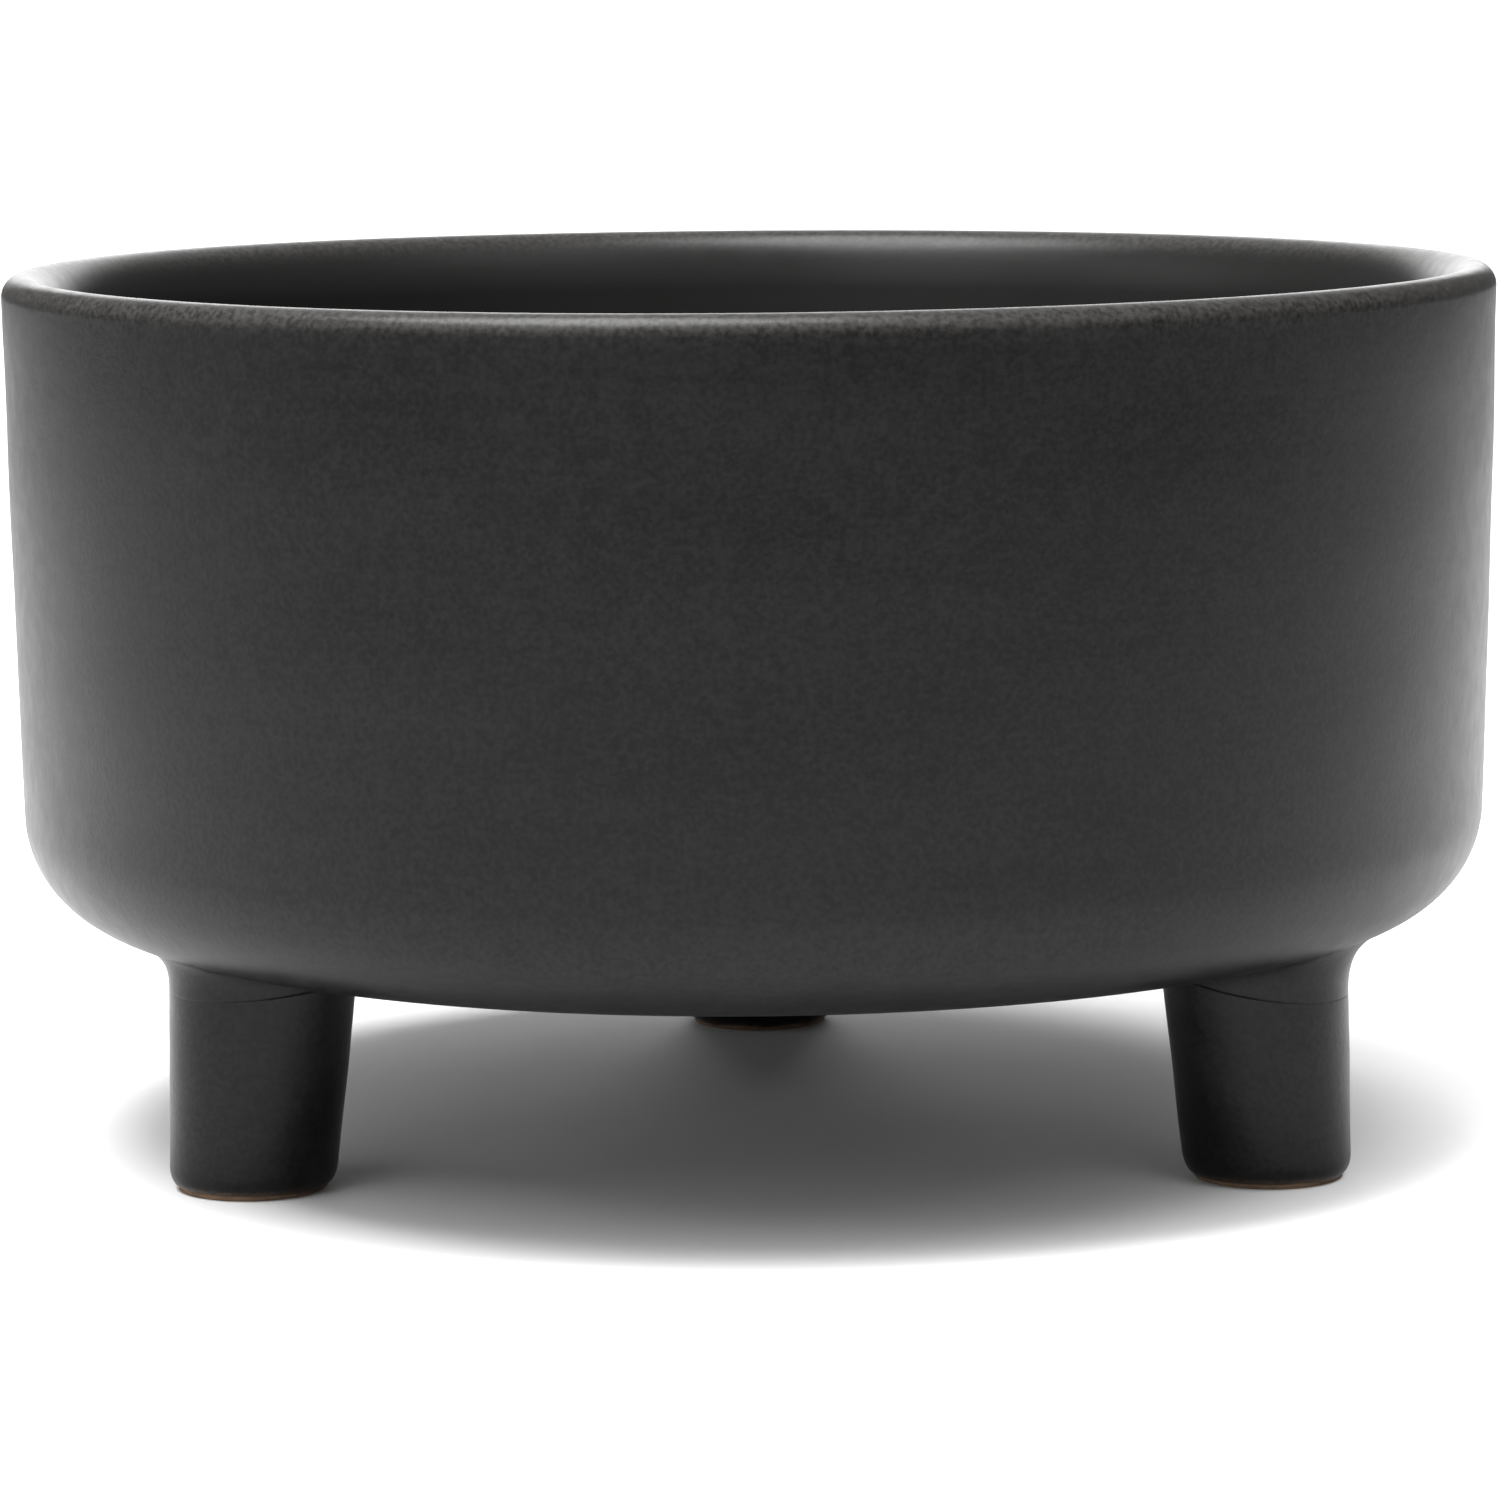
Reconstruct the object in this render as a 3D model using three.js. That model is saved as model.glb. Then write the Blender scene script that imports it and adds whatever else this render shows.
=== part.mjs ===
// An empty candle jar: a wide stoneware bowl on three tapered feet, glazed satin black.
// The bowl is one cast shell. Each foot is a solid peg, pressed on to the bowl's underside over a
// layer of slip. The slip that squeezes out is smoothed into a fillet round the top of the foot.
// Millimetres. +Z is up, and the origin is on the surface it stands on, under the middle of the bowl.
// -Y is the front, between the left foot (-X) and the right foot (+X). The third foot is at the back.
import * as THREE from "three";

// Bowl
const RIM_RADIUS = 75; // widest, at the round of the rim
const HEIGHT = 88.3; // sole to the top of the rim
const UNDERSIDE = 22.85; // sole to the flat of the bowl's underside
const RIM_ROUND = 2.1; // radius of the rim's outer half
const LIP_WIDTH = 3.6; // the rim's inner half, an ellipse: across the rim
const LIP_DROP = 6.5; // and down the inside
const WALL = RIM_ROUND + LIP_WIDTH;
const FLOOR_THICKNESS = 6;
const CORNER_RADIUS = 11.3; // outside, between wall and underside
const INNER_CORNER_RADIUS = 8;
const WALL_DRAFT = THREE.MathUtils.degToRad(0.95); // the wall opens a little towards the rim

// Feet
const FOOT_RING_RADIUS = 55.95; // from the bowl's axis to a foot's middle, at the underside
const FOOT_SPLAY = 1.7; // how much further out the sole is
const FOOT_TOP_RADIUS = 9.3;
const FOOT_BASE_RADIUS = 8.15; // where the taper would meet the ground
const SOLE_RADIUS = 7.3;
const SOLE_BAND = 0.5; // bare clay below the edge of the glaze
const FOOT_EDGE_HEIGHT = 2.6; // top of the rounding above the sole

// Slip joints
const GAP = 0.35; // clearance between neighbouring solids
const SLIP_LAYER = 0.5; // slip left between a foot and the bowl
const SLIP_EDGE = 0.4; // thickness of a fillet at its two edges
const INWARD_SPREAD = 1; // fillet on the side towards the bowl's axis, across the underside
const INWARD_DEPTH = 1.6; // the same fillet, down the foot

// Each foot was placed by hand, so it has its own angle and its own fillet on the outward side.
const FEET = [
  { name: "left", degrees: 210, outwardSpread: 2, outwardDepth: 2.7 },
  { name: "right", degrees: 330, outwardSpread: 3, outwardDepth: 4.2 },
  { name: "back", degrees: 88.7, outwardSpread: 2.6, outwardDepth: 3.6 },
];

// Facets
const BOWL_SEGMENTS = 96;
const FOOT_SEGMENTS = 36;
const RIM_STEPS = 5; // on each half of the rim
const CORNER_STEPS = 9;
const EDGE_STEPS = 4;
const FILLET_STEPS = 5;
const DRAPE_STEPS = 7;

const QUARTER = Math.PI / 2;
const OUTER_CORNER_Z = UNDERSIDE + CORNER_RADIUS;
const OUTER_CORNER_R = cornerCentre(OUTER_CORNER_Z, CORNER_RADIUS, 0);
const FOOT_TOP = UNDERSIDE - GAP - SLIP_LAYER - GAP;

const bowlGlaze = new THREE.MeshStandardMaterial({ color: 0x2c2c2b, roughness: 0.48 });
const footGlaze = new THREE.MeshStandardMaterial({ color: 0x252524, roughness: 0.5 });
const slipGlaze = new THREE.MeshStandardMaterial({ color: 0x30302e, roughness: 0.5 });

// Points of an elliptical arc from one angle to another, both ends included.
function arc(centreR, centreZ, radiusR, radiusZ, from, to, steps) {
  return Array.from({ length: steps + 1 }, (_, i) => {
    const angle = from + ((to - from) * i) / steps;
    return new THREE.Vector2(centreR + radiusR * Math.cos(angle), centreZ + radiusZ * Math.sin(angle));
  });
}

// A profile of radius and height, turned round the Z axis. It runs from the axis at the bottom,
// outwards and up, and back to the axis, so its faces point out.
function turned(profile, segments) {
  return new THREE.LatheGeometry(profile, segments).rotateX(QUARTER);
}

// The same, for a profile that differs with the direction. Direction 0 is +X.
function turnedUnevenly(profileAt, segments) {
  const geometry = turned(profileAt(0), segments);
  const places = geometry.getAttribute("position");
  const perRing = places.count / (segments + 1);
  for (let ring = 0; ring <= segments; ring++) {
    const direction = (ring / segments) * 4 * QUARTER - QUARTER;
    profileAt(direction).forEach((point, i) => {
      const x = point.x * Math.cos(direction);
      const y = point.x * Math.sin(direction);
      places.setXYZ(ring * perRing + i, x, y, point.y);
    });
  }
  geometry.computeVertexNormals();
  return geometry;
}

// Radius of the bowl's outer wall at height z, on the straight stretch below the round of the rim.
function wallRadius(z) {
  const top = HEIGHT - RIM_ROUND - RIM_ROUND * Math.sin(WALL_DRAFT);
  const topRadius = RIM_RADIUS - RIM_ROUND + RIM_ROUND * Math.cos(WALL_DRAFT);
  return topRadius - (top - z) * Math.tan(WALL_DRAFT);
}

// Radius, from the bowl's axis, of the centre of a corner arc that runs smoothly into the wall, or
// into a line inset from it.
function cornerCentre(z, radius, inset) {
  const tangentZ = z - radius * Math.sin(WALL_DRAFT);
  return wallRadius(tangentZ) - inset / Math.cos(WALL_DRAFT) - radius * Math.cos(WALL_DRAFT);
}

function bowlProfile() {
  const insideFloor = UNDERSIDE + FLOOR_THICKNESS;
  const innerZ = insideFloor + INNER_CORNER_RADIUS;
  const innerR = cornerCentre(innerZ, INNER_CORNER_RADIUS, WALL);
  const crestR = RIM_RADIUS - RIM_ROUND;
  const lipR = crestR - wallRadius(HEIGHT - LIP_DROP) + WALL / Math.cos(WALL_DRAFT);
  const lip = arc(crestR, HEIGHT - LIP_DROP, lipR, LIP_DROP, QUARTER, 2 * QUARTER, RIM_STEPS);
  return [
    new THREE.Vector2(0, UNDERSIDE),
    ...arc(OUTER_CORNER_R, OUTER_CORNER_Z, CORNER_RADIUS, CORNER_RADIUS,
      -QUARTER, -WALL_DRAFT, CORNER_STEPS),
    ...arc(crestR, HEIGHT - RIM_ROUND, RIM_ROUND, RIM_ROUND, -WALL_DRAFT, QUARTER, RIM_STEPS),
    ...lip.slice(1),
    ...arc(innerR, innerZ, INNER_CORNER_RADIUS, INNER_CORNER_RADIUS,
      -WALL_DRAFT, -QUARTER, CORNER_STEPS),
    new THREE.Vector2(0, insideFloor),
  ];
}

// Radius of a foot's tapered side at height z.
function footRadius(z) {
  return FOOT_BASE_RADIUS + ((FOOT_TOP_RADIUS - FOOT_BASE_RADIUS) * z) / UNDERSIDE;
}

function footProfile() {
  const edgeR = footRadius(FOOT_EDGE_HEIGHT) - SOLE_RADIUS;
  const edgeZ = FOOT_EDGE_HEIGHT - SOLE_BAND;
  return [
    new THREE.Vector2(0, 0),
    new THREE.Vector2(SOLE_RADIUS, 0),
    ...arc(SOLE_RADIUS, FOOT_EDGE_HEIGHT, edgeR, edgeZ, -QUARTER, 0, EDGE_STEPS),
    new THREE.Vector2(footRadius(FOOT_TOP), FOOT_TOP),
    new THREE.Vector2(0, FOOT_TOP),
  ];
}

// Height of a slip joint's top face, just clear of the bowl, at a radius from the foot's middle.
function slipTop(radius, direction) {
  const away = Math.hypot(FOOT_RING_RADIUS + radius * Math.cos(direction), radius * Math.sin(direction));
  const past = Math.max(0, away - OUTER_CORNER_R);
  return OUTER_CORNER_Z - Math.sqrt((CORNER_RADIUS + GAP) ** 2 - past ** 2);
}

// A shallow cup over the foot's top: a layer, a skirt down the foot's side, and a concave fillet
// outside. Spread and depth grow evenly from the inward side to the outward side, direction 0.
function slipProfile({ outwardSpread, outwardDepth }, direction) {
  const outward = (1 + Math.cos(direction)) / 2;
  const spread = INWARD_SPREAD + (outwardSpread - INWARD_SPREAD) * outward;
  const depth = INWARD_DEPTH + (outwardDepth - INWARD_DEPTH) * outward;
  const layerZ = FOOT_TOP + GAP;
  const lipZ = UNDERSIDE - GAP - depth;
  const lipR = footRadius(lipZ) + GAP;
  const outerR = FOOT_TOP_RADIUS + spread;
  const filletTop = slipTop(outerR, direction) - SLIP_EDGE;
  const filletR = outerR - lipR - SLIP_EDGE;
  const draped = Array.from({ length: DRAPE_STEPS + 1 }, (_, i) => {
    const radius = outerR * (1 - i / DRAPE_STEPS);
    return new THREE.Vector2(radius, slipTop(radius, direction));
  });
  return [
    new THREE.Vector2(0, layerZ),
    new THREE.Vector2(footRadius(layerZ) + GAP, layerZ),
    new THREE.Vector2(lipR, lipZ),
    ...arc(outerR, lipZ, filletR, filletTop - lipZ, 2 * QUARTER, QUARTER, FILLET_STEPS),
    ...draped,
  ];
}

// Leans a foot outwards, along +X, and leaves its sole flat.
function splay(geometry) {
  const lean = new THREE.Matrix4().makeShear(0, 0, 0, 0, -FOOT_SPLAY / UNDERSIDE, 0);
  return geometry.translate(0, 0, -UNDERSIDE).applyMatrix4(lean).translate(0, 0, UNDERSIDE);
}

function named(name, geometry, material) {
  const mesh = new THREE.Mesh(geometry, material);
  mesh.name = name;
  return mesh;
}

// A foot with its slip joint, set out from the bowl's axis and turned to its place.
function footAssembly(placing) {
  const foot = splay(turned(footProfile(), FOOT_SEGMENTS));
  const slip = splay(turnedUnevenly((direction) => slipProfile(placing, direction), FOOT_SEGMENTS));
  const outFromAxis = new THREE.Group();
  outFromAxis.position.x = FOOT_RING_RADIUS;
  outFromAxis.add(named("foot_" + placing.name, foot, footGlaze));
  outFromAxis.add(named("slip_joint_" + placing.name, slip, slipGlaze));
  const roundAxis = new THREE.Group();
  roundAxis.rotation.z = THREE.MathUtils.degToRad(placing.degrees);
  roundAxis.add(outFromAxis);
  return roundAxis;
}

const candleJar = new THREE.Group();
candleJar.add(named("bowl", turned(bowlProfile(), BOWL_SEGMENTS), bowlGlaze));
FEET.forEach((placing) => candleJar.add(footAssembly(placing)));

export default candleJar;
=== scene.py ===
import math

import bpy
import numpy as np
from mathutils import Matrix, Vector


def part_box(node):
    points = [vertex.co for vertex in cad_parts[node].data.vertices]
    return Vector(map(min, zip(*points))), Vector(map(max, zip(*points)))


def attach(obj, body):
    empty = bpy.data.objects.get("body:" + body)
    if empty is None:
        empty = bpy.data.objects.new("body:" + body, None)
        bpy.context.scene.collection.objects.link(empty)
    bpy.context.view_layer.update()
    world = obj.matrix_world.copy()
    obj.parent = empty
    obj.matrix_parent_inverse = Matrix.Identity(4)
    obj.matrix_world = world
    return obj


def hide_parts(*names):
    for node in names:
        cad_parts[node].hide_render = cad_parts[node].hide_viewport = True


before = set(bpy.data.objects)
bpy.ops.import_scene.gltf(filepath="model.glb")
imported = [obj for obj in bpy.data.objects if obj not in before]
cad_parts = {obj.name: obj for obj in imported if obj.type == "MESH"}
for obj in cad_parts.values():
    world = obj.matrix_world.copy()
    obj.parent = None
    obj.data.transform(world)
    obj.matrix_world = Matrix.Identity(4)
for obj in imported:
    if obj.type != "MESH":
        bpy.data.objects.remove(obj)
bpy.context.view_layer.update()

MM = 0.001

# Bowl. Its overall sizes come from the frame.
BOWL_LOW, BOWL_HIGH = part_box("bowl")
UNDERSIDE = BOWL_LOW.z
HEIGHT = BOWL_HIGH.z
RIM_RADIUS = BOWL_HIGH.x
RIM_ROUND = 2.1 * MM  # radius of the rim's outer half
LIP_WIDTH = 3.6 * MM  # the rim's inner half, an ellipse: across the rim
LIP_DROP = 6.5 * MM  # and down the inside
WALL = RIM_ROUND + LIP_WIDTH
FLOOR_THICKNESS = 6 * MM
CORNER_RADIUS = 11.3 * MM
INNER_CORNER_RADIUS = 8 * MM
WALL_DRAFT = math.radians(0.95)
BOWL_SEGMENTS = 360

# Fired clay is never quite round or level, so the bowl is a little uneven.
BELLY = 0.14 * MM  # how far the wall swells at half its height
OVAL = 0.10 * MM  # how far the rim is out of round, twice round
THREE_LOBED = 0.05 * MM  # and three times round
RIM_DIP = 0.24 * MM  # from the rim's highest places to its lowest
WALL_WAVE = 0.035 * MM  # size of the slow waves in the wall
FLOOR_WAVE = 0.05 * MM  # and in the floor inside
RIM_THIN_GLAZE_AND_HIGHLIGHT = (2.8 * MM, 0.9 * MM)  # below the top: where the rim's pale band begins, and where it is palest. The band is thinner glaze, and partly a painted highlight.

# Feet
SIDES = ("left", "right", "back")
FOOT_TAPER = 0.05  # radius gained for each unit of height
FOOT_SEGMENTS = 120
GLAZE_LINE = 0.42 * MM  # top of the bare clay above the sole
EDGE_HEIGHT = 2.6 * MM  # top of the rounded bottom edge of the glaze
THIN_ON_FOOT = 1.2 * MM  # height up to which the glaze is thinner
BEAD = 0.1 * MM  # the small round on the edge of the sole and of the top
BULGE = 0.05 * MM  # how far a foot's side bulges
BULGE_FADES = (11 * MM, 16 * MM)  # heights between which a foot's bulges die away
LINE_WANDERS = 0.1 * MM  # how far the edge of the glaze wanders up and down
FOOT_SEED = 20  # the left foot's: the others' follow it
LINE_SEED = 40  # added to a foot's own seed

QUARTER = math.pi / 2
TURN = 2 * math.pi


# Noise made of waves, so that it closes on itself round a turned piece.
def waves(angle, height, seed, count, turns, rise):
    """Sum of random waves, about -1 to 1: up to `turns` round a piece and `rise` a metre up it."""
    random = np.random.default_rng(seed)
    total = np.zeros(np.broadcast(angle, height).shape)
    for _ in range(count):
        around = random.integers(0, turns + 1)
        up = random.uniform(-rise, rise)
        total += np.cos(around * angle + TURN * up * height + random.uniform(0, TURN))
    return total / math.sqrt(count)


def smooth(low, high, value):
    """Rises smoothly from 0 at `low` to 1 at `high`."""
    share = np.clip((value - low) / (high - low), 0, 1)
    return share * share * (3 - 2 * share)


# Profiles are lists of (radius, height).
def arc(centre, radius, start, end, steps):
    """Points of a circular or elliptical arc, both ends included."""
    radius_r, radius_z = radius if isinstance(radius, tuple) else (radius, radius)
    angles = np.linspace(start, end, steps + 1)
    return [(centre[0] + radius_r * math.cos(angle), centre[1] + radius_z * math.sin(angle))
            for angle in angles]


def line(start, end, steps):
    """Points between two others, neither of which is included."""
    return [(start[0] + (end[0] - start[0]) * share, start[1] + (end[1] - start[1]) * share)
            for share in np.linspace(0, 1, steps + 1)[1:-1]]


def joined(*runs):
    """One outline of arcs. The number with an arc is the steps of the line that leads to it."""
    outline = []
    for run, steps in runs:
        if outline:
            outline += line(outline[-1], run[0], steps)
        outline += run
    return outline


def turned(profile, segments):
    """A profile turned round Z: its points, rings by segments, and each segment's angle."""
    angles = np.arange(segments) * TURN / segments
    radius, height = np.array(profile, float).T[..., None]
    grid = np.stack([radius * np.cos(angles), radius * np.sin(angles), height + 0 * angles], -1)
    return grid, angles


def add_object(name, data):
    thing = bpy.data.objects.new(name, data)
    bpy.context.scene.collection.objects.link(thing)
    return thing


def add_mesh(name, points, faces):
    mesh = bpy.data.meshes.new(name)
    mesh.from_pydata(points, [], faces)
    return add_object(name, mesh)


def neighbours(ring):
    """Each point number of a closed ring, with the one after it."""
    return list(zip(ring.tolist(), np.roll(ring, -1).tolist()))


def band(lower, upper):
    """Faces between two rings of point numbers."""
    return [[a, b, d, c] for (a, b), (c, d) in zip(neighbours(lower), neighbours(upper))]


def grid_mesh(name, grid, closed_loop=False):
    """A closed body from rings of points. Its end rings are poles, or they join each other."""
    rings, segments = grid.shape[:2]
    if closed_loop:
        points = grid.reshape(-1, 3)
        index = np.arange(rings * segments).reshape(rings, segments)
        faces = [face for i in range(rings) for face in band(index[i], index[(i + 1) % rings])]
    else:
        points = np.concatenate([grid[1:-1].reshape(-1, 3), grid[:1, 0], grid[-1:, 0]])
        index = np.arange((rings - 2) * segments).reshape(rings - 2, segments)
        bottom, top = len(points) - 2, len(points) - 1
        faces = [face for a, b in zip(index[:-1], index[1:]) for face in band(a, b)]
        faces += [[bottom, b, a] for a, b in neighbours(index[0])]
        faces += [[top, a, b] for a, b in neighbours(index[-1])]
    piece = add_mesh(name, points.tolist(), faces)
    piece.data.shade_smooth()
    return piece


def ring_values(values):
    """Values given ring by ring, put in the order of the points of a mesh with poles."""
    return np.concatenate([values[1:-1].ravel(), values[:1, 0], values[-1:, 0]])


def vertex_values(piece, name, values):
    """Stores one number for each point of the mesh, for its material to read."""
    attribute = piece.data.attributes.new(name, "FLOAT", "POINT")
    attribute.data.foreach_set("value", np.asarray(values, np.float32))


def points_of(piece):
    points = np.empty(len(piece.data.vertices) * 3)
    piece.data.vertices.foreach_get("co", points)
    return points.reshape(-1, 3)


# Materials
class Nodes:
    """Short calls for a material's nodes."""

    def __init__(self, tree):
        self.tree = tree

    def add(self, kind, inputs=None, **settings):
        node = self.tree.nodes.new(kind)
        for key, value in settings.items():
            setattr(node, key, value)
        for key, value in (inputs or {}).items():
            self.put(node, key, value)
        return node

    def place(self):
        """The object's own coordinates, in metres."""
        return self.add("ShaderNodeTexCoord").outputs["Object"]

    def attribute(self, name):
        return self.add("ShaderNodeAttribute", attribute_name=name).outputs["Fac"]

    def put(self, node, key, value):
        if isinstance(value, bpy.types.NodeSocket):
            self.tree.links.new(value, node.inputs[key])
        else:
            node.inputs[key].default_value = value

    def noise(self, place, size, detail=3.0, roughness=0.5, stretch=(1, 1, 1)):
        """Noise from 0 to 1. Its blotches are about `size` metres across, or wider if stretched."""
        scale = [1 / (size * share) for share in stretch]
        scaled = self.add("ShaderNodeVectorMath", {0: place, 1: scale}, operation="MULTIPLY")
        inputs = {"Vector": scaled.outputs[0], "Scale": 1.0,
                  "Detail": detail, "Roughness": roughness}
        return self.add("ShaderNodeTexNoise", inputs).outputs["Fac"]

    def math(self, operation, *values):
        return self.add("ShaderNodeMath", dict(enumerate(values)), operation=operation).outputs[0]

    def weighted(self, *pairs):
        """Sum of values, each times its own weight."""
        total, *others = [self.math("MULTIPLY", value, weight) for value, weight in pairs]
        for other in others:
            total = self.math("ADD", total, other)
        return total

    def fit(self, value, low, high, to_low=0.0, to_high=1.0):
        """Goes smoothly from `to_low` to `to_high` as the value goes from `low` to `high`."""
        inputs = {"Value": value, "From Min": low, "From Max": high,
                  "To Min": to_low, "To Max": to_high}
        return self.add("ShaderNodeMapRange", inputs, interpolation_type="SMOOTHSTEP").outputs[0]

    def mix(self, share, first, second):
        """One colour at share 0, the other at share 1."""
        inputs = {0: share, 6: first, 7: second}  # 6 and 7 are the colour sockets
        return self.add("ShaderNodeMix", inputs, data_type="RGBA").outputs[2]


def new_material(name):
    material = bpy.data.materials.new(name)
    material.use_nodes = True
    return material, Nodes(material.node_tree), material.node_tree.nodes["Principled BSDF"]


# Glaze
GLOSS = 0.178  # specular level
DARKEST = (0.0007, 0.0007, 0.0006, 1)
LIGHTEST = (0.0072, 0.0072, 0.0070, 1)
INSIDE_TONE = (0.020, 0.020, 0.0196, 1)
INSIDE_CALM = 0.4  # how much weaker the pits are inside the bowl
THIN_GLAZE_AND_HIGHLIGHT = {  # where the glaze breaks over an edge and is thinner; on the bowl's rim the paler colour is partly a painted highlight as well
    "bowl": (0.048, 0.046, 0.044, 1),
    "foot": (0.070, 0.050, 0.036, 1),
    "slip": (0.060, 0.058, 0.055, 1),
}
SATIN = (0.31, 0.37)  # roughness, smoothest and roughest
GRAIN_SIZE = 0.55 * MM
BLOTCH_SIZE = 2.4 * MM
CLOUD_SIZE = 38 * MM
STREAK_SIZE = 1.6 * MM

# Bare clay
CLAY_DARK = (0.135, 0.082, 0.048, 1)
CLAY_LIGHT = (0.20, 0.128, 0.078, 1)
CLAY_SPECK = (0.06, 0.036, 0.022, 1)
CLAY_MATT = (0.78, 0.92)  # roughness, smoothest and roughest
CLAY_GRAIN_SIZE = 0.35 * MM
CLAY_BLOTCH_SIZE = 2.2 * MM
CLAY_RELIEF = 0.06 * MM


def glaze_material(name, thin_and_highlight, relief):
    """Satin black glaze, pitted `relief` deep. Where "edge" is high it takes the given paler
    colour: thinner glaze, and on the bowl's rim partly a painted highlight.
    """
    material, nodes, shader = new_material(name)
    place = nodes.place()
    edge = nodes.attribute("edge")
    grain = nodes.noise(place, GRAIN_SIZE, 2.0)
    blotch = nodes.noise(place, BLOTCH_SIZE)
    cloud = nodes.noise(place, CLOUD_SIZE, 2.0, stretch=(1, 1, 0.5))
    streak = nodes.noise(place, STREAK_SIZE, 2.0, stretch=(26, 26, 1))
    tone = nodes.weighted((grain, 0.5), (blotch, 0.2), (cloud, 0.2), (streak, 0.1))
    colour = nodes.mix(nodes.fit(tone, 0.35, 0.65), DARKEST, LIGHTEST)
    # Paler where "edge" is high: thinner glaze, and on the bowl's rim partly a painted highlight.
    broken_and_highlight = nodes.math("MULTIPLY", edge, nodes.fit(grain, 0.28, 0.72, 0.35, 1.0))
    colour = nodes.mix(broken_and_highlight, colour, thin_and_highlight)
    inside = nodes.attribute("inside")
    nodes.put(shader, "Base Color", nodes.mix(inside, colour, INSIDE_TONE))
    uneven = nodes.weighted((cloud, 0.4), (blotch, 0.6))
    nodes.put(shader, "Roughness", nodes.fit(uneven, 0.3, 0.7, *SATIN))
    nodes.put(shader, "Specular IOR Level", GLOSS)
    pits = nodes.weighted((grain, 0.7), (blotch, 0.9))
    strength = nodes.math("SUBTRACT", 1.0, nodes.math("MULTIPLY", inside, INSIDE_CALM))
    bump = nodes.add("ShaderNodeBump", {"Strength": strength, "Distance": relief, "Height": pits})
    nodes.put(shader, "Normal", bump.outputs[0])
    return material


def clay_material():
    """Bare fired clay: buff, fine grog, quite matt."""
    material, nodes, shader = new_material("bare_clay")
    place = nodes.place()
    grain = nodes.noise(place, CLAY_GRAIN_SIZE, 3.0, 0.65)
    blotch = nodes.noise(place, CLAY_BLOTCH_SIZE)
    colour = nodes.mix(nodes.fit(blotch, 0.3, 0.7), CLAY_DARK, CLAY_LIGHT)
    colour = nodes.mix(nodes.fit(grain, 0.62, 0.72), colour, CLAY_SPECK)
    nodes.put(shader, "Base Color", colour)
    nodes.put(shader, "Roughness", nodes.fit(grain, 0.3, 0.7, *CLAY_MATT))
    inputs = {"Strength": 1.0, "Distance": CLAY_RELIEF, "Height": grain}
    nodes.put(shader, "Normal", nodes.add("ShaderNodeBump", inputs).outputs[0])
    return material


bowl_glaze = glaze_material("bowl_glaze", THIN_GLAZE_AND_HIGHLIGHT["bowl"], 0.022 * MM)
foot_glaze = glaze_material("foot_glaze", THIN_GLAZE_AND_HIGHLIGHT["foot"], 0.034 * MM)
slip_glaze = glaze_material("slip_glaze", THIN_GLAZE_AND_HIGHLIGHT["slip"], 0.028 * MM)
bare_clay = clay_material()


# Bowl
def wall_radius(height):
    """Outer radius on the straight stretch of the wall."""
    top = HEIGHT - RIM_ROUND - RIM_ROUND * math.sin(WALL_DRAFT)
    top_radius = RIM_RADIUS - RIM_ROUND * (1 - math.cos(WALL_DRAFT))
    return top_radius - (top - height) * math.tan(WALL_DRAFT)


def corner_centre(height, radius, inset):
    """Distance from the axis of the centre of a corner arc that runs smoothly into the wall."""
    tangent = height - radius * math.sin(WALL_DRAFT)
    return wall_radius(tangent) - inset / math.cos(WALL_DRAFT) - radius * math.cos(WALL_DRAFT)


CORNER_Z = UNDERSIDE + CORNER_RADIUS
CORNER_R = corner_centre(CORNER_Z, CORNER_RADIUS, 0)


def underside_height(distance):
    """Height of the bowl's underside at a distance from its axis."""
    past = np.maximum(0, distance - CORNER_R)
    return CORNER_Z - np.sqrt(CORNER_RADIUS**2 - past**2)


def bowl_profile():
    """From the middle of the underside, up the outside, over the rim and down to the floor."""
    floor = UNDERSIDE + FLOOR_THICKNESS
    inner_z = floor + INNER_CORNER_RADIUS
    inner_r = corner_centre(inner_z, INNER_CORNER_RADIUS, WALL)
    crest_r = RIM_RADIUS - RIM_ROUND
    lip_z = HEIGHT - LIP_DROP
    lip_r = crest_r - wall_radius(lip_z) + WALL / math.cos(WALL_DRAFT)
    outer = arc((CORNER_R, CORNER_Z), CORNER_RADIUS, -QUARTER, -WALL_DRAFT, 24)
    rim = arc((crest_r, HEIGHT - RIM_ROUND), RIM_ROUND, -WALL_DRAFT, QUARTER, 14)
    rim += arc((crest_r, lip_z), (lip_r, LIP_DROP), QUARTER, 2 * QUARTER, 26)[1:]
    inner = arc((inner_r, inner_z), INNER_CORNER_RADIUS, -WALL_DRAFT, -QUARTER, 16)
    return joined(([(0, UNDERSIDE)], 0), (outer, 16), (rim, 44), (inner, 40), ([(0, floor)], 18))


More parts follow.
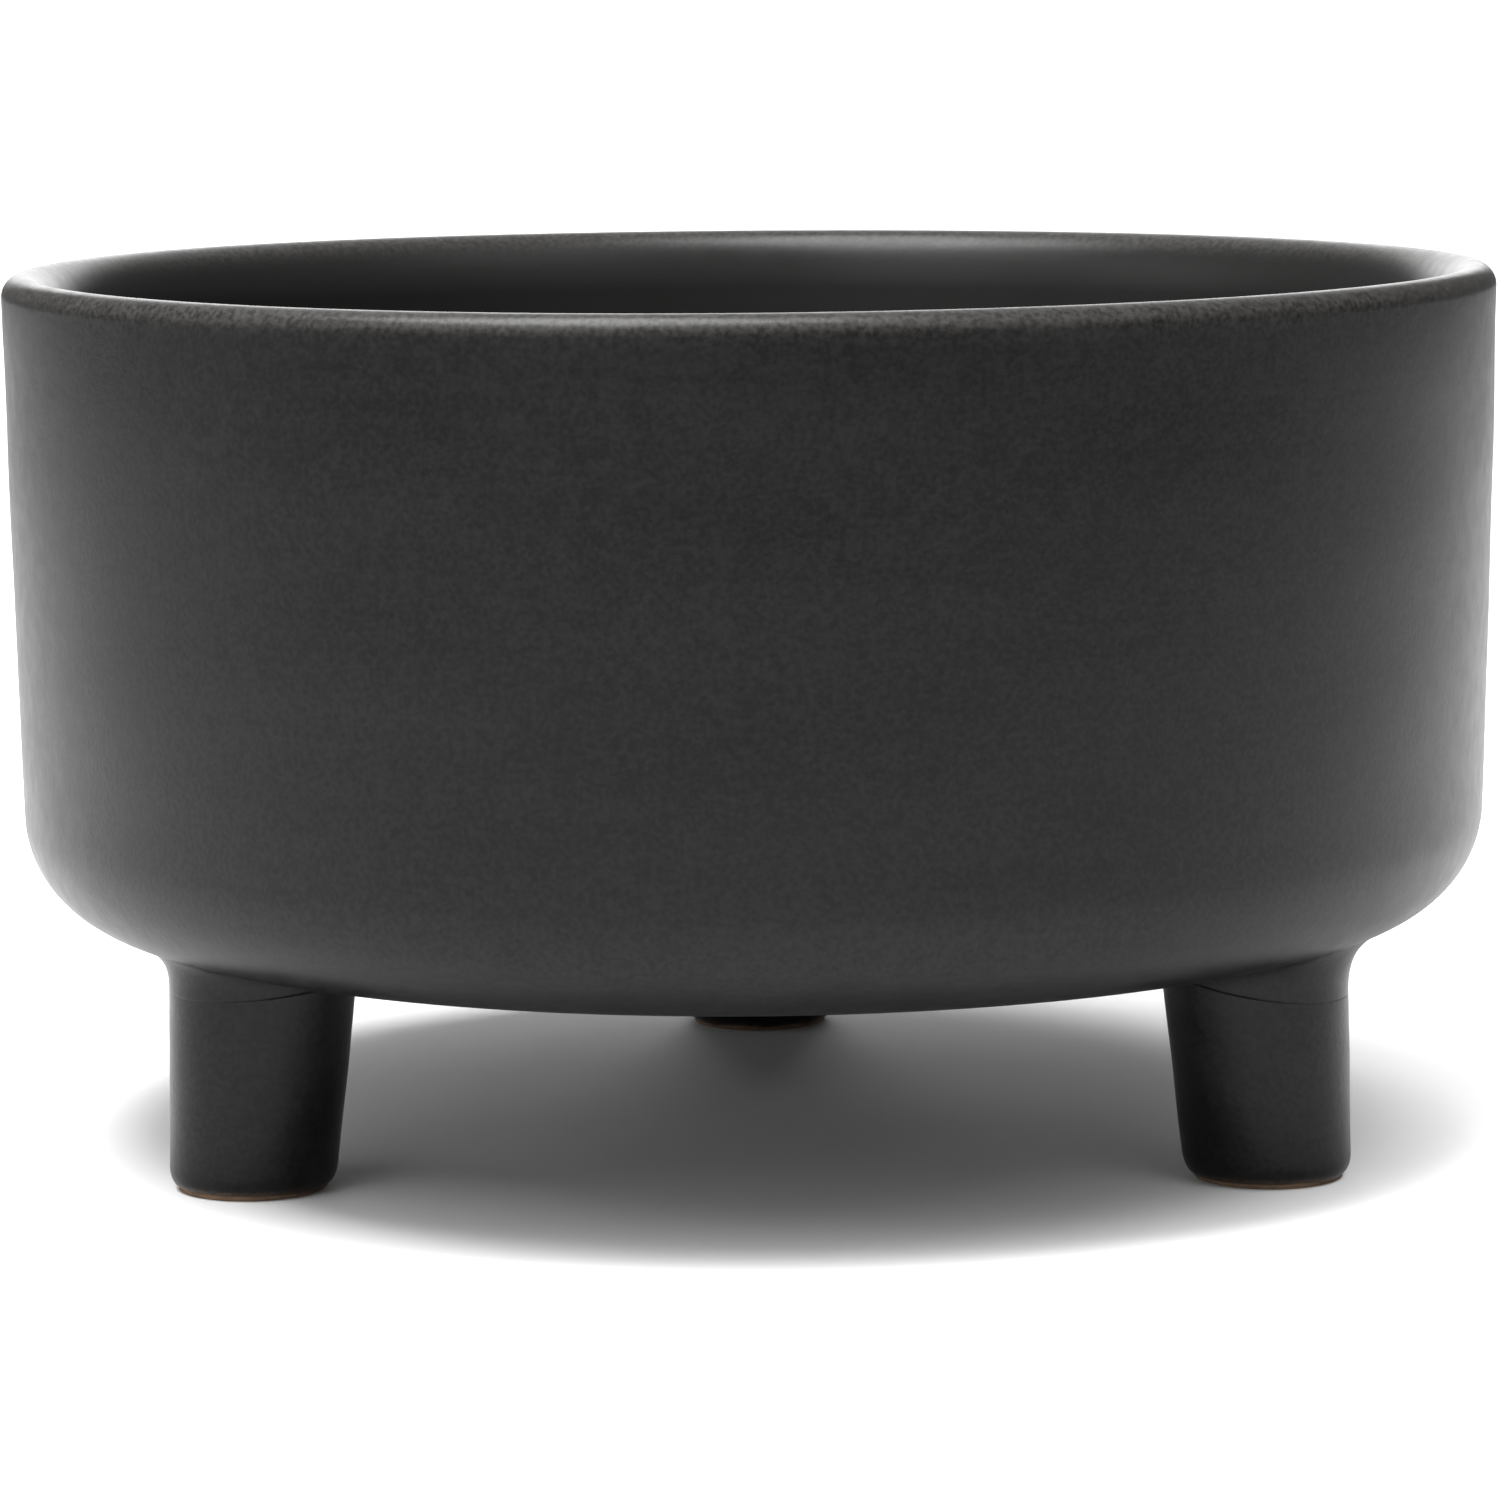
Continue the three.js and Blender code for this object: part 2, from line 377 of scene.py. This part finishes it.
def make_bowl():
    grid, angles = turned(bowl_profile(), BOWL_SEGMENTS)
    radius = np.hypot(grid[..., 0], grid[..., 1])
    height = grid[..., 2]
    upper = smooth(UNDERSIDE + 2 * CORNER_RADIUS, HEIGHT, height)
    out_of_round = OVAL * np.cos(2 * angles + 0.9) + THREE_LOBED * np.cos(3 * angles + 2.2)
    belly = BELLY * np.sin(math.pi * np.clip((height - CORNER_Z) / (HEIGHT - CORNER_Z), 0, 1))
    # The waves die away below the wall, so that the underside stays true for the fillets.
    wavy = smooth(0, 0.4 * RIM_RADIUS, radius)
    wavy = wavy * smooth(UNDERSIDE + 4 * MM, CORNER_Z + 8 * MM, height)
    wall_waves = WALL_WAVE * waves(angles, height, seed=5, count=14, turns=9, rise=60)
    scale = 1 + (upper * out_of_round + belly + wavy * wall_waves) / np.maximum(radius, MM)
    grid[..., 0] *= scale
    grid[..., 1] *= scale
    grid[..., 2] -= upper * RIM_DIP / 2 * (1 + np.cos(2 * angles + 3.6))
    past_crest = np.arange(len(grid))[:, None] > height[:, 0].argmax()
    on_floor = past_crest * (1 - smooth(0.75 * RIM_RADIUS, 0.85 * RIM_RADIUS, radius))
    floor_waves = FLOOR_WAVE * waves(angles, radius, seed=8, count=6, turns=3, rise=30)
    grid[..., 2] += on_floor * floor_waves
    bowl = grid_mesh("bowl_body", grid)
    pale_from, palest = [HEIGHT - drop for drop in RIM_THIN_GLAZE_AND_HIGHLIGHT]
    # The pale band round the top of the rim: thinner glaze, and partly a painted highlight.
    vertex_values(bowl, "edge", ring_values(smooth(pale_from, palest, grid[..., 2])))
    inside = past_crest * smooth(RIM_ROUND, 3 * RIM_ROUND, RIM_RADIUS - radius)
    vertex_values(bowl, "inside", ring_values(inside))
    bowl.data.materials.append(bowl_glaze)
    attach(bowl, "root")
    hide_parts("bowl")


# Feet
CLOSE = 0.01 * MM  # closer than this counts as the same height


def end_disc(node, top):
    """Centre and radius of a foot's flat end, read from its CAD solid."""
    points = points_of(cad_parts[node])
    level = points[:, 2].max() if top else points[:, 2].min()
    disc = points[np.abs(points[:, 2] - level) < CLOSE]
    centre = (disc.min(0) + disc.max(0)) / 2
    return centre, np.hypot(*(disc - centre)[:, :2].T).max()


class Foot:
    """A foot's axis and size, from its CAD solid. Its own +X points away from the bowl's axis."""

    def __init__(self, side):
        self.sole, self.sole_radius = end_disc("foot_" + side, top=False)
        self.top, self.top_radius = end_disc("foot_" + side, top=True)
        self.turn = math.atan2(self.sole[1], self.sole[0])
        self.out = math.hypot(*self.top[:2])
        self.lean = (self.out - math.hypot(*self.sole[:2])) / self.top[2]

    def radius(self, height):
        return self.top_radius - (self.top[2] - height) * FOOT_TAPER

    def place(self, grid):
        """Moves points round a foot's own axis, upright at the origin, to the leaning foot."""
        placed = grid.copy()
        placed[..., 0] += self.out + (grid[..., 2] - self.top[2]) * self.lean
        cos, sin = math.cos(self.turn), math.sin(self.turn)
        placed[..., :2] = placed[..., :2] @ np.array([[cos, sin], [-sin, cos]])
        return placed


def foot_profile(foot):
    """From the middle of the sole, up the side, to the middle of the top."""
    sole = arc((foot.sole_radius - BEAD, BEAD), BEAD, -QUARTER, 0, 3)
    edge_size = (foot.radius(EDGE_HEIGHT) - foot.sole_radius, EDGE_HEIGHT - GLAZE_LINE)
    edge = arc((foot.sole_radius, EDGE_HEIGHT), edge_size, -QUARTER, 0, 14)
    bend = foot.top[2] - BEAD
    top = arc((foot.radius(bend) - BEAD, bend), BEAD, 0, QUARTER, 3)
    return joined(([(0, 0)], 0), (sole, 10), (edge, 4), (top, 30), ([(0, foot.top[2])], 6))


def make_foot(side, seed):
    foot = Foot(side)
    grid, angles = turned(foot_profile(foot), FOOT_SEGMENTS)
    radius = np.hypot(grid[..., 0], grid[..., 1])
    height = grid[..., 2]
    clay = ring_values(height <= GLAZE_LINE + CLOSE)
    edge_value = ring_values(1 - smooth(GLAZE_LINE, THIN_ON_FOOT, height))
    bulging = smooth(GLAZE_LINE, EDGE_HEIGHT, height) * (1 - smooth(*BULGE_FADES, height))
    bulge = BULGE * waves(angles, height, seed, count=8, turns=5, rise=90)
    scale = 1 + bulging * bulge / np.maximum(radius, MM)
    grid[..., 0] *= scale
    grid[..., 1] *= scale
    # The glaze was wiped off by hand, so its edge wanders a little.
    near_line = smooth(BEAD, GLAZE_LINE, height) * (1 - smooth(GLAZE_LINE, EDGE_HEIGHT, height))
    wander = LINE_WANDERS * waves(angles, 0, seed + LINE_SEED, count=7, turns=8, rise=0)
    grid[..., 2] += near_line * wander
    piece = grid_mesh("foot_" + side + "_body", foot.place(grid))
    vertex_values(piece, "edge", edge_value)
    piece.data.materials.append(foot_glaze)
    piece.data.materials.append(bare_clay)
    for face in piece.data.polygons:
        face.material_index = int(all(clay[v] for v in face.vertices))
    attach(piece, "root")
    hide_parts("foot_" + side)
    return foot


# Slip joints
INWARD_ACROSS = 0.9 * MM  # the fillet towards the bowl's axis: across the underside
INWARD_DOWN = 1.4 * MM  # and down the foot
OUTWARD_SPREAD = 0.62  # the fillet outward: across the underside for each unit down the foot
FILLET_STEPS = 14
SKIN = 0.001 * MM  # how far the fillet's edges stand off the foot and the bowl
RUN_ON = 0.3 * MM  # how far its edges lie along them
SUNK = 0.25 * MM  # how far the hidden faces lie inside them
SLOPE_STEP = 0.01 * MM  # to either side, for the underside's slope


def fillet(foot, direction, depth):
    """A slip joint's section in one direction: the fillet, then the hidden faces behind it."""
    outward = (1 + math.cos(direction)) / 2
    down = INWARD_DOWN + (depth - INWARD_DOWN) * outward
    across = INWARD_ACROSS + (depth * OUTWARD_SPREAD - INWARD_ACROSS) * outward
    low = UNDERSIDE - down
    edge = foot.radius(UNDERSIDE) + across

    def under(radius):
        """Height of the bowl's underside at a radius from the foot's middle."""
        middle = foot.out + (UNDERSIDE - foot.top[2]) * foot.lean
        away = np.hypot(middle + radius * math.cos(direction), radius * math.sin(direction))
        return float(underside_height(away))

    slope = (under(edge + SLOPE_STEP) - under(edge - SLOPE_STEP)) / (2 * SLOPE_STEP)
    start = np.array([foot.radius(low) + SKIN, low])
    end = np.array([edge, under(edge) - SKIN])
    # The curve runs in line with the foot at its start and with the underside at its end.
    bend_r = foot.radius(end[1] - slope * (edge - foot.radius(UNDERSIDE))) + SKIN
    bend = np.array([bend_r, end[1] - slope * (edge - bend_r)])
    shares = np.linspace(0, 1, FILLET_STEPS + 1)[:, None]
    curve = (1 - shares) ** 2 * start + 2 * shares * (1 - shares) * bend + shares**2 * end
    first = [(foot.radius(low - RUN_ON) + SKIN, low - RUN_ON)]
    last = [(edge + RUN_ON, under(edge + RUN_ON) - SKIN)]
    hidden = [
        (edge + RUN_ON, under(edge + RUN_ON) + SUNK),
        (foot.radius(UNDERSIDE), under(foot.radius(UNDERSIDE)) + SUNK),
        (foot.radius(UNDERSIDE) - SUNK, UNDERSIDE),
        (foot.radius(low - RUN_ON) - SUNK, low - RUN_ON),
    ]
    return np.concatenate([first, curve, last, hidden])


def make_slip_joint(side, foot):
    low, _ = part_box("slip_joint_" + side)
    depth = UNDERSIDE - low.z
    directions = np.arange(FOOT_SEGMENTS) * TURN / FOOT_SEGMENTS
    sections = np.stack([fillet(foot, direction, depth) for direction in directions], 1)
    radius, height = sections[..., 0], sections[..., 1]
    grid = np.stack([radius * np.cos(directions), radius * np.sin(directions), height], -1)
    piece = grid_mesh("slip_joint_" + side + "_body", foot.place(grid), closed_loop=True)
    # The hidden faces come after the fillet's own, and are shaded flat. They share its edges,
    # where a thin dark line still shows.
    for face in piece.data.polygons[(FILLET_STEPS + 2) * FOOT_SEGMENTS:]:
        face.use_smooth = False
    vertex_values(piece, "edge", np.zeros(len(piece.data.vertices)))
    piece.data.materials.append(slip_glaze)
    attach(piece, "root")
    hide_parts("slip_joint_" + side)


# Stage
PAPER = {
    "Base Color": (0.86, 0.86, 0.86, 1),
    "Roughness": 0.9,
    "Specular IOR Level": 0.2,
    "Emission Color": (1, 1, 1, 1),
}
FLOOR_RINGS = (0.3, 1, 4, 30)  # radii: the floor runs on past everything the camera sees
FLOOR_SEGMENTS = 96
FLOOR_DROP = 0.02 * MM  # how far the floor lies below the soles
FLOOR_GLOW = 0.5  # far behind the jar, where the lights no longer reach
GLOW_STARTS = 0.4  # behind the jar: where the floor's glow begins
GLOW_FADES = 0.3  # to either side of the middle line: where it begins to fade
BACKDROP_GLOW = 0.5
BACKDROP_NEAR = 1.55  # distance, behind the jar, where the floor begins to curve up
BACKDROP_CURVE = 0.25
BACKDROP_TOP = 1.5
BACKDROP_HALF_WIDTH = 0.5


def paper(name):
    """A white matt material, whose glow is still to be set."""
    material, nodes, shader = new_material(name)
    for key, value in PAPER.items():
        nodes.put(shader, key, value)
    return material, nodes, shader


def make_floor():
    """A plain pale floor."""
    grid, _ = turned([(radius, 0) for radius in FLOOR_RINGS], FLOOR_SEGMENTS)
    points = grid.reshape(-1, 3).tolist() + [[0, 0, 0]]
    index = np.arange(len(FLOOR_RINGS) * FLOOR_SEGMENTS).reshape(len(FLOOR_RINGS), -1)
    faces = [face for a, b in zip(index[:-1], index[1:]) for face in band(b, a)]
    faces += [[len(points) - 1, a, b] for a, b in neighbours(index[0])]
    floor = add_mesh("floor", points, faces)
    floor.location.z = -FLOOR_DROP
    material, nodes, shader = paper("pale_floor")
    x, y, _ = nodes.add("ShaderNodeSeparateXYZ", {0: nodes.place()}).outputs
    behind = nodes.fit(y, GLOW_STARTS, BACKDROP_NEAR, 0, FLOOR_GLOW)
    between = nodes.fit(nodes.math("ABSOLUTE", x), GLOW_FADES, BACKDROP_HALF_WIDTH, 1, 0)
    nodes.put(shader, "Emission Strength", nodes.math("MULTIPLY", behind, between))
    floor.data.materials.append(material)
    return floor


def make_backdrop():
    """A white sheet behind the jar, curved up from the floor, which glows a little."""
    curve = arc((BACKDROP_NEAR, BACKDROP_CURVE), BACKDROP_CURVE, -QUARTER, 0, 12)
    side = [(BACKDROP_NEAR, 0)] + curve[1:] + [(BACKDROP_NEAR + BACKDROP_CURVE, BACKDROP_TOP)]
    points = [(x, y, z) for y, z in side for x in (-BACKDROP_HALF_WIDTH, BACKDROP_HALF_WIDTH)]
    faces = [(2 * i, 2 * i + 1, 2 * i + 3, 2 * i + 2) for i in range(len(side) - 1)]
    backdrop = add_mesh("backdrop", points, faces)
    material, nodes, shader = paper("backdrop_paper")
    nodes.put(shader, "Emission Strength", BACKDROP_GLOW)
    backdrop.data.materials.append(material)
    return backdrop


# Lights. Each faces the jar's middle.
LIGHTS = {
    # name: (azimuth from the front, elevation, distance, width, height, power)
    "key": (-60, 75, 1.0, 0.62, 0.62, 20.5),
    "floor_fill": (80, 70, 1.2, 0.8, 0.8, 12.5),
    "front_high_left": (-45, 50, 1.4, 0.8, 0.8, 5.7),
    "front_high_right": (45, 50, 1.4, 0.8, 0.8, 3.2),
    "front_left": (-33, 18, 1.4, 0.8, 0.6, 2.2),
    "front_right": (33, 18, 1.4, 0.8, 0.6, 0.6),
    "left": (-80, 18, 1.4, 0.8, 0.8, 2.2),
    "back": (180, 14, 1.45, 0.9, 0.5, 3.2),
    "top_back": (180, 50, 1.4, 1.4, 0.8, 2.6),
}
FLAGGED = ("floor_fill",)  # shaded from the jar, so they light only the floor and the backdrop
SKY = 0.13  # strength of the even light all round


def make_lights(stage):
    middle = Vector((0, 0, HEIGHT / 2))
    lit_only = bpy.data.collections.new("stage_only")
    for thing in stage:
        lit_only.objects.link(thing)
    for name, (azimuth, elevation, distance, width, height, power) in LIGHTS.items():
        data = bpy.data.lights.new(name, "AREA")
        data.shape = "RECTANGLE"
        data.size = width
        data.size_y = height
        data.energy = power
        light = add_object(name, data)
        turn, up = math.radians(azimuth), math.radians(elevation)
        away = Vector((math.sin(turn) * math.cos(up), -math.cos(turn) * math.cos(up),
                       math.sin(up)))
        light.location = middle + away * distance
        light.rotation_euler = away.to_track_quat("Z", "Y").to_euler()
        if name in FLAGGED:
            light.light_linking.receiver_collection = lit_only


def make_world():
    world = bpy.data.worlds.new("studio")
    world.use_nodes = True
    background = world.node_tree.nodes["Background"]
    background.inputs["Color"].default_value = (1, 1, 1, 1)
    background.inputs["Strength"].default_value = SKY
    bpy.context.scene.world = world


# Camera
LENS = 140.9
SENSOR = 36
CAMERA_OUT = 595.2 * MM  # from the bowl's axis, along the ground
CAMERA_UP = 121.7 * MM
CAMERA_ROUND = math.radians(-0.84)  # round the bowl's axis from straight ahead
CAMERA_DOWN = math.radians(7.94)
CAMERA_ROLL = math.radians(-0.5)
CAMERA_TURN = math.radians(0.031)  # to the left of the bowl's axis
CLIP = (0.01, 100)


def make_camera():
    data = bpy.data.cameras.new("camera")
    data.lens = LENS
    data.sensor_width = SENSOR
    data.clip_start, data.clip_end = CLIP
    camera = add_object("camera", data)
    place = Matrix.Rotation(CAMERA_ROUND, 4, "Z") @ Matrix.Translation((0, -CAMERA_OUT, CAMERA_UP))
    turn = Matrix.Rotation(CAMERA_TURN, 4, "Z")
    tilt = Matrix.Rotation(QUARTER - CAMERA_DOWN, 4, "X")
    aim = turn @ tilt @ Matrix.Rotation(CAMERA_ROLL, 4, "Z")
    camera.matrix_world = place @ aim
    bpy.context.scene.camera = camera


make_bowl()
for seed, side in enumerate(SIDES, FOOT_SEED):
    make_slip_joint(side, make_foot(side, seed))
make_lights([make_floor(), make_backdrop()])
make_world()
make_camera()
bpy.context.scene.view_settings.view_transform = "Standard"
